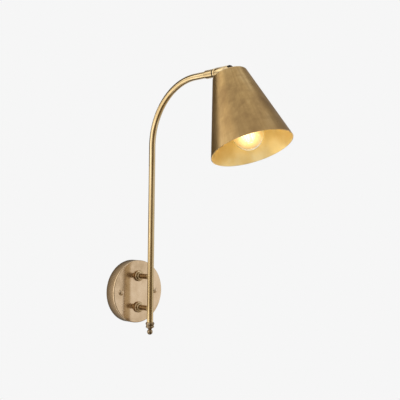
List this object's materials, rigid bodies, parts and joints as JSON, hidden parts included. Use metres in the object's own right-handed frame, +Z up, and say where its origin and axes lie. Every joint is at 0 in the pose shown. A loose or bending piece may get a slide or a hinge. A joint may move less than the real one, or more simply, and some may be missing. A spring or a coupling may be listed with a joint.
{
  "type": "wall lamp",
  "caption": "Wall lamp in aged brass: round wall plate, turned posts, swan-neck tube with a finial, and a conical shade on a swivelling, tilting knuckle.",
  "frame": {"origin": "centre of the wall plate's back, on the wall, between the two fixing slots", "axes": "+Z up along the arm, +Y into the wall, the lamp reaches into the room along -Y, +X to the left of someone facing the wall"},
  "size_m": [0.12, 0.3176, 0.4069],
  "materials": {
    "plate_brass": "satin aged brass, lacquered",
    "turned_brass": "turned aged brass, satin",
    "arm_brass": "satin aged brass tube",
    "shade_brass": "spun brass, mottled patina, lacquered",
    "screw_brass": "aged brass screw",
    "zinc_steel": "zinc-plated steel",
    "contact_brass": "bright brass",
    "connector_nylon": "moulded nylon",
    "black_nylon": "moulded nylon, satin",
    "holder_phenolic": "moulded phenolic",
    "holder_insert": "moulded insulator",
    "flex_sheath": "extruded sheath",
    "lead_sheath": "extruded sheath",
    "bulb_nickel": "nickel plate",
    "bulb_black_glass": "fused black glass",
    "bulb_clear_glass": "clear blown glass",
    "bulb_filament": "glowing filament"
  },
  "bodies": {
    "wall_part": {"backplate": "plate_brass", "wall_bracket": "zinc_steel", "cover_screws": "screw_brass", "earth_screw": "contact_brass", "earth_terminal": "bulb_nickel", "terminal_block": "connector_nylon", "terminal_screws": "contact_brass", "post_upper": "turned_brass", "post_lower": "turned_brass", "post_washers": "zinc_steel", "post_nuts": "zinc_steel", "arm_tube": "arm_brass", "arm_flex": "flex_sheath", "inner_leads": "lead_sheath", "finial": "turned_brass", "arm_ferrule": "turned_brass", "swivel_washer": "black_nylon"},
    "swivel_head": {"swivel_nipple": "turned_brass", "swivel_nut": "zinc_steel", "knuckle_barrel": "turned_brass", "hinge_block": "black_nylon", "pivot_screw": "screw_brass", "pivot_nut": "screw_brass", "knuckle_flex": "flex_sheath"},
    "shade_head": {"shade_stem": "turned_brass", "shade": "shade_brass", "stem_washer": "zinc_steel", "stem_locknut": "zinc_steel", "lampholder_cap": "holder_phenolic", "lampholder_skirt": "holder_phenolic", "lampholder_insert": "holder_insert", "socket_shell": "contact_brass", "centre_contact": "contact_brass", "holder_leads": "flex_sheath", "bulb_cap": "bulb_nickel", "bulb_insulator": "bulb_black_glass", "bulb_contact": "bulb_nickel", "bulb_glass": "bulb_clear_glass", "bulb_mount": "bulb_clear_glass", "bulb_filaments": "bulb_filament"}
  },
  "joints": [
    {"name": "head_swivel", "type": "hinge", "parent": "wall_part", "child": "swivel_head", "pos_m": [0, -0.21376, 0.33355], "axis": [0, -0.9997, 0.0262], "range_deg": [-90, 90]},
    {"name": "shade_tilt", "type": "hinge", "parent": "swivel_head", "child": "shade_head", "pos_m": [0, -0.21376, 0.33355], "axis": [-1, 0, 0], "range_deg": [-21, 66]}
  ]
}
